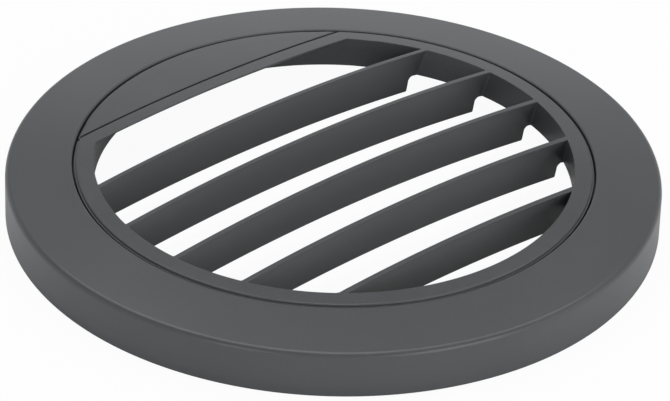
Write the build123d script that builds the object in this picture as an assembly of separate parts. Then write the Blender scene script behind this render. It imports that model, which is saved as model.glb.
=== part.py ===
from build123d import *
import math
import os

# Round warm-air outlet: a skirted bezel ring, and a louvre insert that turns in it to aim the air.
# The axis is Z with the face up, the skirt stands on z = 0, and the slats run along X.

# Louvre insert, millimetres and degrees
opening_diameter = 87.8    # clear air opening inside the rim
rim_wall = 1.75            # tube wall round the opening
rim_depth = 5.95           # how far that wall hangs below the face
slat_thickness = 1.1       # across the flat top of a slat
slat_gap = 12.3            # clear width between slats, at the face
first_gap = 11.75          # clear width between the blank panel and the first slat
slat_depth = 9.9           # face to the lower edge of a slat
slat_lean = 17.0           # lower edges lean this far towards the blank panel
slat_end_inset = 1.35      # below the rim, slat ends start this far inside the opening
slat_end_flare = 8.0       # and reach further out going down
slat_end_round = 1.0       # rounded corner between a slat end and the rim
panel_depth = 12.2         # blank panel, from the opening's edge to its straight side
panel_thickness = 1.8
panel_lip = 0.25           # upright edge along the straight side
panel_undercut = 2.2       # the panel's underside slopes back this far from the lip
frame_width = 3.3          # strip between the straight side and its groove
groove_width = 0.5         # fine straight groove between the panel and the louvre field
groove_depth = 0.8
seam_step_width = 0.35     # step round the insert's outer edge, along the seam
seam_step_depth = 0.4

# Bezel ring
bezel_width = 12.2         # face of the ring, from the seam to the outer edge
skirt_height = 8.7         # floor to the outer edge of the face
shell = 2.0                # moulded wall of face and skirt
outer_edge_round = 1.1
seam_edge_bevel = 0.15

# How the insert sits and turns in the bezel
crown_radius = 372.5       # sphere that the whole face follows
running_gap = 0.3          # all round, between insert and bezel
flange_thickness = 1.9     # insert's flange, from the face down to its seat
ledge_width = 1.85         # seat in the bezel that carries the flange
ledge_thickness = 1.6
collar_wall = 1.7          # stands behind the ledge
lug_count = 4              # snap lugs that hold the insert down
lug_reach = 0.7            # how far a lug reaches under the ledge
lug_arc = 14.0             # width of a lug, in degrees
lug_tip = 0.5              # upright edge of a lug
lug_lead = 1.0             # height of the sloped lead-in below that edge
lug_play = 0.2             # between a lug and the ledge

# Radii that follow, from the middle outwards
opening_radius = opening_diameter / 2
tube_radius = opening_radius + rim_wall
ledge_radius = tube_radius + running_gap
seat_radius = ledge_radius + ledge_width
flange_radius = seat_radius - running_gap
collar_radius = seat_radius + collar_wall
outer_radius = seat_radius + bezel_width
skirt_inner_radius = outer_radius - shell

# Heights and lines that follow
crown_centre = skirt_height - math.sqrt(crown_radius**2 - outer_radius**2)
panel_edge = opening_radius - panel_depth
spare = slat_depth / 10    # extra height that the crown cuts off
lean = math.tan(math.radians(slat_lean))


def crown(radius):
    return crown_centre + math.sqrt(crown_radius**2 - radius**2)


seat_height = crown(flange_radius) - flange_thickness
ledge_bottom = seat_height - ledge_thickness
rim_bottom = crown(opening_radius) - rim_depth


def crown_arc(start, end, drop=0.0):
    middle = (start + end) / 2
    points = [(r, crown(r) - drop) for r in (start, middle, end)]
    return ThreePointArc(*points)


def spin(section):
    return revolve(Plane.XZ * section, Axis.Z, 360)


def crown_slab(radius, above, below):
    # round slab about the axis, between two surfaces that run parallel to the crown
    outline = crown_arc(0, radius, -above)
    outline += Line((radius, crown(radius) + above), (radius, crown(radius) - below))
    outline += crown_arc(radius, 0, below)
    outline += Line((0, crown(0) - below), (0, crown(0) + above))
    return spin(make_face(outline))


def crown_bar(edge, width, slope=0.0, level=0.0):
    # bar along X that rises and falls with the crown, longer and deeper than any piece cut from it
    # its +Y side passes through edge at that level below the crown, and leans to +Y going down
    rise = 2 * spare
    drop = rise + slat_depth + rise
    start = crown(edge) + rise
    end = start - crown_radius + math.sqrt(crown_radius**2 - outer_radius**2)
    side = edge - slope * (rise + level)
    arc = ThreePointArc((-outer_radius, side, end), (0, side, start), (outer_radius, side, end))
    strip = Face.extrude(arc.edge(), (0, -width, 0))
    return Part() + Solid.extrude(strip, (0, slope * drop, -drop))


def bezel_ring():
    under_face = crown(skirt_inner_radius) - shell
    outline = Polyline(
        (skirt_inner_radius, under_face),
        (skirt_inner_radius, 0),
        (outer_radius, 0),
        (outer_radius, crown(outer_radius)),
    )
    outline += crown_arc(outer_radius, seat_radius)
    outline += Polyline(
        (seat_radius, crown(seat_radius)),
        (seat_radius, seat_height),
        (ledge_radius, seat_height),
        (ledge_radius, ledge_bottom),
        (collar_radius, ledge_bottom),
        (collar_radius, crown(collar_radius) - shell),
    )
    outline += crown_arc(collar_radius, skirt_inner_radius, shell)
    section = make_face(outline)
    outer_corner = section.vertices().sort_by_distance((outer_radius, crown(outer_radius)))[0]
    section = fillet(outer_corner, outer_edge_round)
    seam_corner = section.vertices().sort_by_distance((seat_radius, crown(seat_radius)))[0]
    return spin(chamfer(seam_corner, seam_edge_bevel))


def rim():
    top = crown(opening_radius) + spare
    step_radius = flange_radius - seam_step_width
    step_height = crown(flange_radius) - seam_step_depth
    outline = Polyline(
        (opening_radius, rim_bottom),
        (tube_radius, rim_bottom),
        (tube_radius, seat_height),
        (flange_radius, seat_height),
        (flange_radius, step_height),
        (step_radius, step_height),
        (step_radius, top),
        (opening_radius, top),
        close=True,
    )
    return spin(make_face(outline))


def blank_panel():
    far_side = opening_radius + rim_wall / 2
    slab = crown_slab(far_side, spare, panel_thickness)
    behind_edge = Box(2 * far_side, far_side, 2 * far_side, align=(Align.CENTER, Align.MIN, Align.CENTER))
    panel = slab & (Pos(0, panel_edge, 0) * behind_edge)
    slope = panel_undercut / (panel_thickness - panel_lip)
    return panel - crown_bar(panel_edge, panel_depth, slope, panel_lip)


def slat_end_relief(edge):
    # cutter that shortens the +X end of a slat below the rim and leaves a rounded upper corner
    middle = edge - slat_thickness / 2 + lean * rim_depth
    reach = math.sqrt((opening_radius - slat_end_inset)**2 - middle**2)
    flare = slat_depth * math.tan(math.radians(slat_end_flare))
    outline = Polyline(
        (reach, rim_bottom),
        (reach + outer_radius, rim_bottom),
        (reach + outer_radius, rim_bottom - slat_depth),
        (reach + flare, rim_bottom - slat_depth),
        close=True,
    )
    section = make_face(outline)
    upper_corner = section.vertices().sort_by_distance((reach, rim_bottom))[0]
    section = fillet(upper_corner, slat_end_round)
    return extrude(Plane.XZ * section, outer_radius, both=True)


def slats():
    room = crown_slab(opening_radius + rim_wall / 2, spare, slat_depth)
    pieces = []
    edge = panel_edge - first_gap
    while edge - slat_thickness > slat_gap / 2 - opening_radius:
        relief = slat_end_relief(edge)
        slat = crown_bar(edge, slat_thickness, lean) & room
        pieces.append(slat - relief - mirror(relief, Plane.YZ))
        edge -= slat_gap + slat_thickness
    return pieces


def snap_lugs():
    lug_top = ledge_bottom - lug_play
    lug_bottom = lug_top - lug_tip - lug_lead
    lug_radius = ledge_radius + lug_reach
    root_radius = tube_radius - rim_wall / 2
    outline = Polyline(
        (root_radius, lug_top),
        (lug_radius, lug_top),
        (lug_radius, lug_top - lug_tip),
        (tube_radius, lug_bottom),
        (root_radius, lug_bottom),
        close=True,
    )
    lug = revolve(Plane.XZ * make_face(outline), Axis.Z, lug_arc)
    step = 360 / lug_count
    return [lug.rotate(Axis.Z, (k + 0.5) * step - lug_arc / 2) for k in range(lug_count)]


def panel_groove():
    upper_edge = panel_edge + frame_width + groove_width
    return crown_bar(upper_edge, groove_width) & crown_slab(outer_radius, spare, groove_depth)


def louvre_insert():
    body = rim() + [blank_panel()] + slats() + snap_lugs()
    body &= crown_slab(outer_radius, 0, 2 * slat_depth)
    return body - panel_groove()


os.makedirs("parts", exist_ok=True)
export_step(bezel_ring(), "parts/bezel_ring.step")
export_step(louvre_insert(), "parts/louvre_insert.step")
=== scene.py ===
import math

import bmesh
import bpy
import numpy as np
from mathutils import Matrix, Vector


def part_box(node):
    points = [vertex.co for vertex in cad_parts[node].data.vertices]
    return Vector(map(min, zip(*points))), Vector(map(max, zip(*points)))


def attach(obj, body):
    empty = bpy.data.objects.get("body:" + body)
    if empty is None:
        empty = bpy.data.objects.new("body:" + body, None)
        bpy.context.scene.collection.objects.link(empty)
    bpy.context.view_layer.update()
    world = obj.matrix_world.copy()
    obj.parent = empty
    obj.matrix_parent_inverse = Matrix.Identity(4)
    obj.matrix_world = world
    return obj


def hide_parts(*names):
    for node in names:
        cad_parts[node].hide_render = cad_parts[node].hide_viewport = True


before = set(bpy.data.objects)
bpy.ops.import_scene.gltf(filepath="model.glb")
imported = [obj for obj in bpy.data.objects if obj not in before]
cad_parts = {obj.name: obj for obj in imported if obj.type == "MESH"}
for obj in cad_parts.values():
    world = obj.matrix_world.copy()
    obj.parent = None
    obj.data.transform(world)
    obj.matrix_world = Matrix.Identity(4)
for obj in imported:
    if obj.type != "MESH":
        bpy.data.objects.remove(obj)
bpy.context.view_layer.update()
perMetre = 1000                 # millimetres
bezelLow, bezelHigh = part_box("bezel_ring")
print("frame loaded, outer diameter", round((bezelHigh.x - bezelLow.x) * perMetre, 2), "mm")


# camera

photoView = {
    "imageWidth": 670,          # pixels
    "focalPixels": 4500.0,      # long lens, nearly parallel view
    "sensorWidth": 36.0,        # millimetres
    "clipStart": 0.05,          # metres
    "distance": 0.8226,         # metres from the middle of the face's outer edge
    "elevation": 32.37,         # degrees above the floor
    "bearing": 41.83,           # degrees from +Y towards +X that the lens points, in plan
    "roll": 1.94,               # degrees
    "shiftRight": 0.00019,      # metres, sideways along the image
    "shiftUp": -0.00555,
    "aimHeight": 0.0087,        # outer edge of the face above the floor
}


def placeCamera(v):
    # back along the line of sight from the aim, then shifted along the rolled image
    bearing, tilt, roll = (math.radians(v[k]) for k in ("bearing", "elevation", "roll"))
    ahead = Vector((math.sin(bearing), math.cos(bearing), 0))
    side = Vector((math.cos(bearing), -math.sin(bearing), 0))
    back = Vector((0, 0, 1)) * math.sin(tilt) - ahead * math.cos(tilt)
    above = back.cross(side)
    right = side * math.cos(roll) + above * math.sin(roll)
    up = above * math.cos(roll) - side * math.sin(roll)
    aim = Vector((0, 0, v["aimHeight"]))
    spot = aim + back * v["distance"] + right * v["shiftRight"] + up * v["shiftUp"]
    data = bpy.data.cameras.new("photoCamera")
    data.sensor_width = v["sensorWidth"]
    data.lens = v["focalPixels"] / v["imageWidth"] * data.sensor_width
    data.clip_start = v["clipStart"]
    camera = bpy.data.objects.new("photoCamera", data)
    turn = Matrix((right, up, back)).transposed()
    camera.matrix_world = Matrix.Translation(spot) @ turn.to_4x4()
    bpy.context.scene.collection.objects.link(camera)
    bpy.context.scene.camera = camera


placeCamera(photoView)
print("camera placed")


# shapes: lengths are in millimetres, and meshes are scaled to metres when they are made

faceCrown = {
    "radius": 372.5,            # sphere that both mouldings follow
    "edgeRadius": 60.0,         # it passes through the outer edge of the face
    "edgeHeight": 8.7,
}
cornerRule = {
    "steps": 7,                 # points on each rounded corner
    "support": 0.06,            # one more point on each side, this far from the arc
    "leastTurn": 1e-6,          # radians, for corners that are nearly straight
    "samePoint": 1e-5,          # points closer than this are one
    "shortest": 1e-9,           # keeps a division away from zero
}
meshRule = {
    "mergeWithin": 1e-7,        # metres
    "dropWithin": 1e-8,         # metres, shorter edges go
    "sharpAngle": 38,           # degrees, a crease that turns further stays sharp
}


def crownHeight(r):
    # height of the sphere's centre, plus the height of its cap above the centre at radius r
    sphere = faceCrown["radius"]
    centre = faceCrown["edgeHeight"] - math.sqrt(sphere**2 - faceCrown["edgeRadius"]**2)
    return centre + np.sqrt(sphere**2 - np.square(r))


def crownCorners(r, drop=0.0):
    # rows for roundOutline that follow the crown, this far under it, without rounding
    return np.stack((r, crownHeight(r) - drop, 0 * r), axis=1)


def roundRise(step, size):      # how far a quarter round drops, a step along from where it starts
    return size - np.sqrt(np.maximum(size**2 - np.square(step), 0))


def unit(v):                    # each row at length one
    return v / np.maximum(np.linalg.norm(v, axis=-1, keepdims=True), cornerRule["shortest"])


def aboutAxis(r, angle, z):     # points at these radii and heights, at these angles round Z
    return np.stack((r * np.cos(angle), r * np.sin(angle), z + 0 * angle), axis=-1)


def roundOutline(corners):
    # corners are rows of radius, height and rounding
    # each becomes the arc that touches both of its sides, with one more point on each side
    spot, rounding = corners[:, :2], corners[:, 2:3]
    back = unit(np.roll(spot, 1, axis=0) - spot)
    ahead = unit(np.roll(spot, -1, axis=0) - spot)
    half = np.arccos(np.clip((back * ahead).sum(axis=1, keepdims=True), -1, 1)) / 2
    sweep = np.maximum(np.pi - 2 * half, cornerRule["leastTurn"])[:, None]
    reach = rounding / np.tan(half)
    start, end = spot + back * reach, spot + ahead * reach
    middle = spot + unit(back + ahead) * rounding / np.sin(half)
    u = np.linspace(0, 1, cornerRule["steps"])[None, :, None]
    first, last = (start - middle)[:, None], (end - middle)[:, None]
    swing = np.sin((1 - u) * sweep) * first + np.sin(u * sweep) * last
    arc = middle[:, None] + swing / np.sin(sweep)
    before = (start + back * cornerRule["support"])[:, None]
    after = (end + ahead * cornerRule["support"])[:, None]
    points = np.concatenate((before, arc, after), axis=1)
    points = np.where(rounding[:, None] > 0, points, spot[:, None]).reshape(-1, 2)
    stride = np.linalg.norm(points - np.roll(points, 1, axis=0), axis=1)
    return points[stride > cornerRule["samePoint"]]


def gridFaces(rows, columns, wrapColumns):
    # rows close on themselves
    # each face joins a point with its neighbours in the next row and column
    last = columns if wrapColumns else columns - 1
    i, j = np.meshgrid(np.arange(rows), np.arange(last), indexing="ij")
    down, along = (i + 1) % rows, (j + 1) % columns
    corners = (i * columns + j, down * columns + j, down * columns + along, i * columns + along)
    return np.stack(corners, axis=-1).reshape(-1, 4)


def ringShell(grid):            # a closed section carried once round the axis
    rows, columns = grid.shape[:2]
    return grid.reshape(-1, 3), gridFaces(rows, columns, True)


def slabShell(front, back):
    # two sheets with the same grid, joined along all four edges
    rows, columns = front.shape[:2]
    grid = np.concatenate((front, back[::-1]))
    i = np.arange(rows - 1)
    ends = np.stack((i, i + 1, 2 * rows - 2 - i, 2 * rows - 1 - i), axis=-1) * columns
    faces = np.concatenate((gridFaces(2 * rows, columns, False), ends, ends + columns - 1))
    return grid.reshape(-1, 3), faces


def makePiece(name, shells):
    # one mesh of all the shells, smooth between its creases
    counts = np.cumsum([0] + [len(points) for points, faces in shells])
    points = np.concatenate([points for points, faces in shells]) / perMetre
    faces = np.concatenate([faces + start for (_, faces), start in zip(shells, counts)])
    mesh = bpy.data.meshes.new(name)
    mesh.from_pydata(points, [], faces)
    work = bmesh.new()
    work.from_mesh(mesh)
    bmesh.ops.remove_doubles(work, verts=work.verts, dist=meshRule["mergeWithin"])
    bmesh.ops.dissolve_degenerate(work, edges=work.edges, dist=meshRule["dropWithin"])
    bmesh.ops.recalc_face_normals(work, faces=work.faces)
    work.to_mesh(mesh)
    work.free()
    mesh.shade_smooth()
    mesh.set_sharp_from_angle(angle=math.radians(meshRule["sharpAngle"]))
    piece = bpy.data.objects.new(name, mesh)
    bpy.context.scene.collection.objects.link(piece)
    print(name, "has", len(mesh.polygons), "faces")
    return piece


# where the insert's flange rests on the bezel's ledge

flangeSeat = {
    "radius": 47.5,             # outer edge of the flange
    "thickness": 1.9,
    "ledgeThickness": 1.6,
    "lugPlay": 0.2,             # between the ledge and the lugs under it
}
seatHeight = crownHeight(flangeSeat["radius"]) - flangeSeat["thickness"]
ledgeBottom = seatHeight - flangeSeat["ledgeThickness"]


# bezel ring: skirt, crowned face, seat for the insert and the collar behind it

bezelRing = {
    "outer": 60.0,
    "skirtInner": 58.0,
    "wall": 2.0,
    "seat": 47.8,               # radius of the hole in the face
    "ledge": 45.95,
    "collar": 49.5,
    "outerRound": 1.1,
    "seamRound": 0.34,
    "footRound": 0.3,
    "skirtFillet": 0.6,         # inside, between skirt and face
    "ledgeRound": 0.15,
    "collarRound": 0.25,
    "collarFillet": 0.4,        # inside, between collar and face
    "outerMargin": 1.6,         # points along the face stay this far from its outer edge
    "seamMargin": 0.6,
    "underMargin": 1.2,
    "facePoints": 9,
    "underPoints": 5,
    "columns": 384,
}


def bezelShape(b):
    # rounded section, turned once round the axis
    face = np.linspace(b["outer"] - b["outerMargin"], b["seat"] + b["seamMargin"], b["facePoints"])
    underStart, underEnd = b["collar"] + b["underMargin"], b["skirtInner"] - b["underMargin"]
    under = np.linspace(underStart, underEnd, b["underPoints"])
    corners = np.concatenate((
        [[b["skirtInner"], crownHeight(b["skirtInner"]) - b["wall"], b["skirtFillet"]],
         [b["skirtInner"], 0, b["footRound"]],
         [b["outer"], 0, b["footRound"]],
         [b["outer"], crownHeight(b["outer"]), b["outerRound"]]],
        crownCorners(face),
        [[b["seat"], crownHeight(b["seat"]), b["seamRound"]],
         [b["seat"], seatHeight, b["ledgeRound"]],
         [b["ledge"], seatHeight, b["ledgeRound"]],
         [b["ledge"], ledgeBottom, b["ledgeRound"]],
         [b["collar"], ledgeBottom, b["collarRound"]],
         [b["collar"], crownHeight(b["collar"]) - b["wall"], b["collarFillet"]]],
        crownCorners(under, b["wall"]),
    ))
    section = roundOutline(corners)
    angle = np.linspace(0, 2 * np.pi, b["columns"], endpoint=False)
    return ringShell(aboutAxis(section[:, :1], angle, section[:, 1:]))


bezel = makePiece("bezelRing", [bezelShape(bezelRing)])
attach(bezel, "bezel")
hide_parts("bezel_ring")


# louvre insert: stepped rim, blank panel, five leaning slats and the snap lugs, one moulding

louvreRim = {
    "opening": 43.9,
    "depth": 5.95,              # of the wall round the opening, below the face
    "tube": 45.65,
    "step": 47.15,              # low step along the seam, from here to the flange's edge
    "stepDepth": 0.4,
    "innerRound": 0.1,
    "stepRound": 0.32,
    "stepFillet": 0.05,
    "flangeRound": 0.08,
    "seatRound": 0.15,
    "tubeFillet": 0.2,          # between the tube and the underside of the flange
    "bottomRound": 0.1,
    "faceMargin": 0.4,
    "facePoints": 8,
    "evenColumns": ((-90, 39), (57, 124), (142, 270)),  # degrees, a column at each one
    "straightFrom": 30.7,       # Y of the first column that runs straight across
    "straightTo": 0.9,          # the last one lies this far past the groove
    "straightLines": 6,         # before the groove
}
panelGroove = {
    "low": 35.0,                # straight across the face, between these lines
    "high": 35.5,
    "depth": 0.8,
    "edgeRound": 0.12,
    "edgeShares": (1.0, 0.75, 0.5, 0.28, 0.12, 0.03, 0.0),  # where lines lie on a rounded edge
    "lowMargin": 0.3,           # to the nearest other lines on the two sides
    "highMargin": 0.4,
}
blankPanel = {
    "edge": 31.7,               # straight side
    "reach": 44.15,             # ends inside the rim
    "lip": 0.25,
    "thickness": 1.8,
    "undercut": 2.2,
    "lipRound": 0.15,
    "lipPoints": 6,
    "lipMargin": 0.4,
    "endMargin": 0.15,
    "stripLines": 7,            # between the straight side and the groove
    "fieldLines": 14,           # past the groove
    "columns": 161,
}
louvreSlat = {
    "count": 5,
    "firstEdge": 19.95,         # +Y edge of the first slat, at the face
    "pitch": 13.4,
    "thickness": 1.1,
    "depth": 9.9,
    "lean": 17.0,               # degrees, lower edge towards the panel
    "topRound": 0.15,
    "lowRound": 0.2,
    "rootFillet": 0.2,          # where a slat grows out of the rim
    "rootOverlap": 0.7,         # how far it runs on inside the rim
    "endInset": 1.35,           # below the rim, from the opening's edge
    "endFlare": 8.0,            # degrees, outwards going down
    "endRound": 1.0,
    "tipRound": 0.45,
    "roundPoints": 7,
    "wallRows": 9,              # beside the rim
    "wallMargin": 0.05,
    "cutAbove": 0.004,          # last row that the rim holds, and first row below it
    "cutBelow": 1e-4,
    "cornerRows": 9,            # on the rounded corner under the rim
    "freeRows": 4,              # below that corner
    "freeMargin": 0.3,
    "tipMargin": 0.1,
    "tipRows": 4,
    "tipShare": 0.9,
    "columns": 71,
    "endZone": 2.0,             # last part of each end, with columns close together
    "endColumns": 20,
    "endStart": 0.1,
}
snapLug = {
    "count": 4,
    "arc": 14.0,                # degrees
    "root": 44.8,
    "reach": 46.65,
    "tip": 0.5,
    "lead": 1.0,
    "rootDrop": 0.5,            # the sloped side runs on this far down inside the tube's wall
    "columns": 9,
}
hairStep = 0.003                # a groove's wall leans by no more than this
flushDrop = 0.005               # panel and slats lie this far under the rim's face


def grooveSink(y, v):
    # full depth between the two lines, a quarter round just outside each of them, then nothing
    gap = np.maximum(v["low"] - y, y - v["high"])
    size = v["edgeRound"]
    shoulder = roundRise(size - np.clip(gap, 0, size), size)
    return np.where(gap < -hairStep / 2, v["depth"], shoulder)


def grooveLines(v):
    # lines along the groove: two rounded edges, two walls and the floor between
    slope = v["edgeRound"] * np.array(v["edgeShares"])
    floor = [v["low"] + hairStep, (v["low"] + v["high"]) / 2, v["high"] - hairStep]
    return np.concatenate((v["low"] - slope, floor, v["high"] + slope[::-1]))


def rimShape(g, v):
    # section carried round the axis, with the groove cut into it
    # where the groove crosses the rim, the columns follow straight lines along it
    bottom = crownHeight(g["opening"]) - g["depth"]
    flange = flangeSeat["radius"]
    stepFloor = crownHeight(flange) - g["stepDepth"]
    face = np.linspace(g["opening"] + g["faceMargin"], g["step"] - g["faceMargin"], g["facePoints"])
    corners = np.concatenate((
        [[g["opening"], bottom, g["bottomRound"]],
         [g["opening"], crownHeight(g["opening"]), g["innerRound"]]],
        crownCorners(face),
        [[g["step"], crownHeight(g["step"]), g["stepRound"]],
         [g["step"], stepFloor, g["stepFillet"]],
         [flange, stepFloor, g["flangeRound"]],
         [flange, seatHeight, g["seatRound"]],
         [g["tube"], seatHeight, g["tubeFillet"]],
         [g["tube"], bottom, g["bottomRound"]]],
    ))
    section = roundOutline(corners)
    r, z = section[:, :1], section[:, 1:]
    across = np.concatenate((
        np.linspace(g["straightFrom"], v["low"] - v["lowMargin"], g["straightLines"]),
        grooveLines(v),
        [v["high"] + v["highMargin"], v["high"] + g["straightTo"]],
    ))
    right = np.arcsin(across / r)
    left = np.pi - right[:, ::-1]
    even = [np.radians(np.arange(*span, dtype=float)) + 0 * r for span in g["evenColumns"]]
    angle = np.concatenate((even[0], right, even[1], left, even[2]), axis=1)
    z = np.minimum(z, crownHeight(r) - grooveSink(r * np.sin(angle), v))
    return ringShell(aboutAxis(r, angle, z))


def panelShape(p, v):
    # rows run straight across and end on a circle inside the rim, and both sheets follow the crown
    turn = np.linspace(0, np.pi / 2, p["lipPoints"])
    y = np.concatenate((
        p["edge"] + p["lipRound"] * (1 - np.cos(turn)),
        np.linspace(p["edge"] + p["lipMargin"], v["low"] - v["lowMargin"], p["stripLines"]),
        grooveLines(v),
        np.linspace(v["high"] + v["highMargin"], p["reach"] - p["endMargin"], p["fieldLines"]),
    ))[:, None]
    x = np.linspace(-1, 1, p["columns"]) * np.sqrt(p["reach"]**2 - y**2)
    edgeDrop = 0 * y
    edgeDrop[:len(turn), 0] = p["lipRound"] * (1 - np.sin(turn))
    crown = crownHeight(np.hypot(x, y))
    slope = np.clip((y - p["edge"]) / p["undercut"], 0, 1)
    under = p["lip"] + slope * (p["thickness"] - p["lip"])
    top = np.stack((x, y + 0 * x, crown - flushDrop - edgeDrop - grooveSink(y, v)), axis=-1)
    bottom = np.stack((x, y + 0 * x, crown - under), axis=-1)
    return slabShell(top, bottom)


def slatSection(s, wall, hang):
    # half section from the middle of the top, round one side, to the middle of the lower edge:
    # how far each row lies from the other side, and how far below the crown
    size, support = s["thickness"], cornerRule["support"]
    topRound, lowRound, endRound, tipRound = (s[k + "Round"] for k in ("top", "low", "end", "tip"))
    turn = np.linspace(0, np.pi / 2, s["roundPoints"])
    corner = np.linspace(0, np.pi / 2, s["cornerRows"])
    tipTop = hang - tipRound
    faceDrop = np.concatenate((
        np.linspace(topRound + support, wall - s["wallMargin"], s["wallRows"]),
        [wall - s["cutAbove"]],
        wall + endRound * (1 - np.cos(corner)) + s["cutBelow"],
        np.linspace(wall + endRound + s["freeMargin"], tipTop - s["tipMargin"], s["freeRows"]),
        tipTop + (tipRound - lowRound) * np.linspace(0, s["tipShare"], s["tipRows"]),
    ))
    across = np.concatenate((
        [size / 2, size - topRound - support],
        size - topRound + topRound * np.sin(turn),
        0 * faceDrop + size,
        size - lowRound + lowRound * np.cos(turn),
        [size / 2],
    ))
    drop = np.concatenate((
        [0, 0],
        topRound * (1 - np.cos(turn)),
        faceDrop,
        hang - lowRound + lowRound * np.sin(turn),
        [hang],
    ))
    return across[:, None], drop[:, None]


def slatReach(drop, middle, hang, s, g):
    # half length below the rim: a rounded corner at the top, a flared end and a rounded tip
    flare = math.tan(math.radians(s["endFlare"]))
    endRound, tipRound = s["endRound"], s["tipRound"]
    reach = math.sqrt((g["opening"] - s["endInset"])**2 - middle**2)
    bend = reach + flare * endRound + endRound * math.sqrt(1 + flare**2)
    below = np.maximum(drop - g["depth"], 0)
    corner = bend - np.sqrt(np.maximum(endRound**2 - np.square(below - endRound), 0))
    cornerEnd = endRound * (1 + math.sin(math.atan(flare)))
    free = np.where(below < cornerEnd, corner, reach + flare * below)
    return free - roundRise(np.maximum(drop - (hang - tipRound), 0), tipRound)


def slatShape(edge, s, g):
    # the half section and its mirror image are carried along X, hang from the crown and lean
    # the ends run into the rim above, and are cut free below it
    lean = math.tan(math.radians(s["lean"]))
    size, wall, zone, fillet = s["thickness"], g["depth"], s["endZone"], s["rootFillet"]
    hang = s["depth"] - (crownHeight(edge + lean * s["depth"]) - crownHeight(edge))
    across, drop = slatSection(s, wall, hang)
    free = slatReach(drop, edge - size / 2 + lean * wall, hang, s, g)
    inner = np.linspace(-1, 1, s["columns"])
    outer = np.linspace(s["endStart"], zone, s["endColumns"])
    along = np.concatenate((0 * outer - 1, inner, 0 * outer + 1))
    extra = np.concatenate((-outer[::-1], 0 * inner, outer))

    def sheet(sign):            # -1 is the side towards the near rim, +1 the side towards the panel
        w = size / 2 - sign * (across - size / 2)
        y = edge - w + lean * drop
        held = np.sqrt((g["opening"] + s["rootOverlap"])**2 - y**2)
        x = along * (np.where(drop < wall, held, free) - zone) + extra
        gap = np.clip(np.sqrt(g["opening"]**2 - y**2) - np.abs(x), 0, fillet)
        root = np.where(drop < wall, roundRise(fillet - gap, fillet), 0) * (across / (size / 2) - 1)
        z = crownHeight(np.hypot(x, edge - w)) - drop - flushDrop
        return np.stack((x, y + sign * root, z), axis=-1)

    return slabShell(sheet(-1), sheet(1))


def lugShape(middle, k):
    # wedge section carried a few degrees round the tube
    top = ledgeBottom - flangeSeat["lugPlay"]
    low = top - k["tip"] - k["lead"] - k["rootDrop"]
    r = np.array((k["root"], k["reach"], k["reach"], k["root"]))[:, None]
    z = np.array((top, top, top - k["tip"], low))[:, None]
    angle = np.radians(middle + np.linspace(-k["arc"] / 2, k["arc"] / 2, k["columns"]))
    return slabShell(aboutAxis(r, angle, z), aboutAxis(k["root"] + 0 * r, angle, z))


slatEdges = louvreSlat["firstEdge"] - louvreSlat["pitch"] * np.arange(louvreSlat["count"])
lugAngles = (np.arange(snapLug["count"]) + 0.5) * 360 / snapLug["count"]
insert = makePiece("louvreInsert", [
    rimShape(louvreRim, panelGroove),
    panelShape(blankPanel, panelGroove),
    *(slatShape(edge, louvreSlat, louvreRim) for edge in slatEdges),
    *(lugShape(middle, snapLug) for middle in lugAngles),
])
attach(insert, "insert")
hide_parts("louvre_insert")


# materials

def newMaterial(name):
    mat = bpy.data.materials.new(name)
    mat.use_nodes = True
    tree = mat.node_tree
    tree.nodes.clear()
    out = tree.nodes.new("ShaderNodeOutputMaterial")
    shader = tree.nodes.new("ShaderNodeBsdfPrincipled")
    tree.links.new(shader.outputs["BSDF"], out.inputs["Surface"])
    coords = tree.nodes.new("ShaderNodeTexCoord")
    return mat, tree, shader, coords.outputs["Object"]


def addNoise(tree, coords, grainSize, detail, roughness):   # grainSize is one speck, in metres
    noise = tree.nodes.new("ShaderNodeTexNoise")
    noise.inputs["Scale"].default_value = 1.0 / grainSize
    noise.inputs["Detail"].default_value = detail
    noise.inputs["Roughness"].default_value = roughness
    tree.links.new(coords, noise.inputs["Vector"])
    return noise.outputs["Fac"]


def addRange(tree, value, low, high, start=0.3, end=0.7):   # most of a noise lies between 0.3 and 0.7
    span = tree.nodes.new("ShaderNodeMapRange")
    span.inputs["From Min"].default_value = start
    span.inputs["From Max"].default_value = end
    span.inputs["To Min"].default_value = low
    span.inputs["To Max"].default_value = high
    tree.links.new(value, span.inputs["Value"])
    return span.outputs["Result"]


def addBump(tree, height, distance):
    bump = tree.nodes.new("ShaderNodeBump")
    bump.inputs["Distance"].default_value = distance
    bump.inputs["Strength"].default_value = 1.0
    tree.links.new(height, bump.inputs["Height"])
    return bump


bezelFinish = {
    "dark": (0.070, 0.073, 0.079, 1),
    "light": (0.086, 0.089, 0.095, 1),
    "cloud": 0.018,             # metres, slow drift of the tone
    "speck": 0.00045,           # fine spark-eroded texture
    "depth": 0.000012,
    "roughLow": 0.30,
    "roughHigh": 0.38,
}
insertFinish = {
    "dark": (0.066, 0.069, 0.074, 1),
    "light": (0.084, 0.087, 0.092, 1),
    "cloud": 0.014,
    "speck": 0.00060,
    "depth": 0.000022,
    "smoothBeyond": 0.0355,     # metres along Y: past the groove the panel is smoother
    "smoothDepth": 0.4,         # share of the grain that is left there
    "smoothFade": 0.0005,       # metres
    "roughLow": 0.28,
    "roughHigh": 0.38,
}
plasticGrain = {
    "cloudDetail": 3.0,
    "cloudRoughness": 0.5,
    "speckDetail": 4.0,
    "speckRoughness": 0.6,
    "cloudShare": 0.5,          # of the change in tone
    "speckShare": 0.5,
    "specular": 0.5,
}


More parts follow.
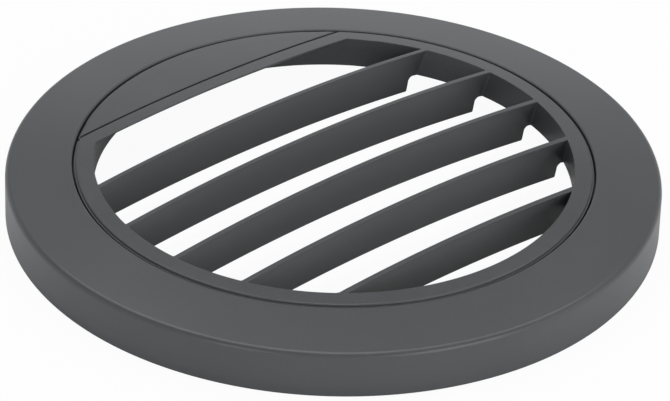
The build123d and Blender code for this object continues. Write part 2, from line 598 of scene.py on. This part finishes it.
def mouldedPlastic(name, f, g):
    # the tone follows both noises, and the roughness and the grain follow the finer one
    mat, tree, shader, coords = newMaterial(name)
    cloud = addNoise(tree, coords, f["cloud"], g["cloudDetail"], g["cloudRoughness"])
    speck = addNoise(tree, coords, f["speck"], g["speckDetail"], g["speckRoughness"])
    tone = tree.nodes.new("ShaderNodeMix")
    tone.data_type = "RGBA"
    tone.inputs["A"].default_value = f["dark"]
    tone.inputs["B"].default_value = f["light"]
    blend = tree.nodes.new("ShaderNodeMath")
    blend.operation = "MULTIPLY_ADD"
    blend.inputs[1].default_value = g["cloudShare"]
    tree.links.new(addRange(tree, cloud, 0.0, 1.0), blend.inputs[0])
    tree.links.new(addRange(tree, speck, 0.0, g["speckShare"]), blend.inputs[2])
    tree.links.new(blend.outputs["Value"], tone.inputs["Factor"])
    tree.links.new(tone.outputs["Result"], shader.inputs["Base Color"])
    rough = addRange(tree, speck, f["roughLow"], f["roughHigh"])
    tree.links.new(rough, shader.inputs["Roughness"])
    bump = addBump(tree, speck, f["depth"])
    tree.links.new(bump.outputs["Normal"], shader.inputs["Normal"])
    if "smoothBeyond" in f:
        split = tree.nodes.new("ShaderNodeSeparateXYZ")
        tree.links.new(coords, split.inputs["Vector"])
        end = f["smoothBeyond"]
        grain = addRange(tree, split.outputs["Y"], 1.0, f["smoothDepth"], end - f["smoothFade"], end)
        tree.links.new(grain, bump.inputs["Strength"])
    shader.inputs["Specular IOR Level"].default_value = g["specular"]
    return mat


bezel.data.materials.append(mouldedPlastic("satinAnthracite", bezelFinish, plasticGrain))
insert.data.materials.append(mouldedPlastic("grainedAnthracite", insertFinish, plasticGrain))
print("plastic finishes set")


# floor, world and lamps

stageLook = {
    "floorHalf": 3.0,           # metres
    "floorTone": (0.88, 0.88, 0.88, 1),
    "floorRough": 0.9,
    "whiteShare": 0.95,         # how much of the floor the camera sees as plain white
    "glossShare": 0.15,         # the same for the floor's reflection in the plastic
    "skyTone": (0.97, 0.985, 1.0, 1),
    "wallLevel": 0.65,          # pale studio walls
    "ceilingLevel": 0.28,       # dimmer ceiling
    "wallTop": 0.10,            # height of the view direction where the walls start to darken
    "ceilingFoot": 0.45,        # and where the ceiling starts
}


def addWhiteShare(tree, seenShare, glossShare):
    # weight of plain white for each kind of ray, added up
    shares = {
        "Is Camera Ray": seenShare,
        "Is Glossy Ray": glossShare,
        "Is Transmission Ray": seenShare,
    }
    path = tree.nodes.new("ShaderNodeLightPath")
    total = None
    for ray, share in shares.items():
        step = tree.nodes.new("ShaderNodeMath")
        step.operation = "MULTIPLY_ADD"
        step.inputs[1].default_value = share
        step.inputs[2].default_value = 0.0
        tree.links.new(path.outputs[ray], step.inputs[0])
        if total:
            tree.links.new(total, step.inputs[2])
        total = step.outputs["Value"]
    return total


def layFloor(s):
    # one square, mostly plain white to the camera and pale grey to the light
    half = s["floorHalf"]
    corners = [(-half, -half, 0), (half, -half, 0), (half, half, 0), (-half, half, 0)]
    mesh = bpy.data.meshes.new("floor")
    mesh.from_pydata(corners, [], [(0, 1, 2, 3)])
    floor = bpy.data.objects.new("floor", mesh)
    bpy.context.scene.collection.objects.link(floor)
    mat, tree, shader, coords = newMaterial("paleFloor")
    shader.inputs["Base Color"].default_value = s["floorTone"]
    shader.inputs["Roughness"].default_value = s["floorRough"]
    glow = tree.nodes.new("ShaderNodeEmission")
    mix = tree.nodes.new("ShaderNodeMixShader")
    tree.links.new(addWhiteShare(tree, s["whiteShare"], s["glossShare"]), mix.inputs["Fac"])
    tree.links.new(shader.outputs["BSDF"], mix.inputs[1])
    tree.links.new(glow.outputs["Emission"], mix.inputs[2])
    out = next(n for n in tree.nodes if n.type == "OUTPUT_MATERIAL")
    tree.links.new(mix.outputs["Shader"], out.inputs["Surface"])
    mesh.materials.append(mat)


def setWorld(s):
    # walls fade into the ceiling with the height of the view direction, and the camera sees full white
    world = bpy.data.worlds.new("studio")
    bpy.context.scene.world = world
    world.use_nodes = True
    tree = world.node_tree
    tree.nodes.clear()
    out = tree.nodes.new("ShaderNodeOutputWorld")
    sky = tree.nodes.new("ShaderNodeBackground")
    sky.inputs["Color"].default_value = s["skyTone"]
    coords = tree.nodes.new("ShaderNodeTexCoord")
    split = tree.nodes.new("ShaderNodeSeparateXYZ")
    tree.links.new(coords.outputs["Generated"], split.inputs["Vector"])
    room = tree.nodes.new("ShaderNodeMapRange")
    room.interpolation_type = "SMOOTHSTEP"
    room.inputs["From Min"].default_value = s["wallTop"]
    room.inputs["From Max"].default_value = s["ceilingFoot"]
    room.inputs["To Min"].default_value = s["wallLevel"]
    room.inputs["To Max"].default_value = s["ceilingLevel"]
    tree.links.new(split.outputs["Z"], room.inputs["Value"])
    level = tree.nodes.new("ShaderNodeMapRange")
    level.inputs["To Max"].default_value = 1.0
    tree.links.new(room.outputs["Result"], level.inputs["To Min"])
    path = tree.nodes.new("ShaderNodeLightPath")
    tree.links.new(path.outputs["Is Camera Ray"], level.inputs["Value"])
    tree.links.new(level.outputs["Result"], sky.inputs["Strength"])
    tree.links.new(sky.outputs["Background"], out.inputs["Surface"])


lamps = {                       # softboxes, all aimed at the middle of the floor, in metres
    "above": {"spot": (0.00, 0.00, 1.00), "size": 0.45, "watts": 1.9},
    "aboveRight": {"spot": (0.50, 0.00, 0.87), "size": 0.45, "watts": 1.3},
    "aboveBack": {"spot": (0.00, 0.50, 0.87), "size": 0.45, "watts": 1.7},
    "side": {"spot": (0.07, -1.25, 0.45), "size": 0.70, "watts": 4.0},
    "right": {"spot": (0.95, -0.85, 0.45), "size": 0.70, "watts": 0.8},
    "back": {"spot": (0.87, 1.03, 0.40), "size": 0.70, "watts": 0.6},
    # two small ones for the gleam on the near edges
    "edgeLeft": {"spot": (-0.90, -0.33, 0.28), "size": 0.10, "watts": 0.8},
    "edgeRight": {"spot": (-0.23, -0.93, 0.28), "size": 0.10, "watts": 0.4},
}


def hangLamps(table):
    for name, lamp in table.items():
        data = bpy.data.lights.new(name, "AREA")
        data.shape = "SQUARE"
        data.size = lamp["size"]
        data.energy = lamp["watts"]
        light = bpy.data.objects.new(name, data)
        light.location = lamp["spot"]
        light.rotation_euler = (-Vector(lamp["spot"])).to_track_quat("-Z", "Y").to_euler()
        light.visible_camera = False
        bpy.context.scene.collection.objects.link(light)


layFloor(stageLook)
setWorld(stageLook)
hangLamps(lamps)
bpy.context.scene.view_settings.view_transform = "Standard"
print("floor, world and lamps set")
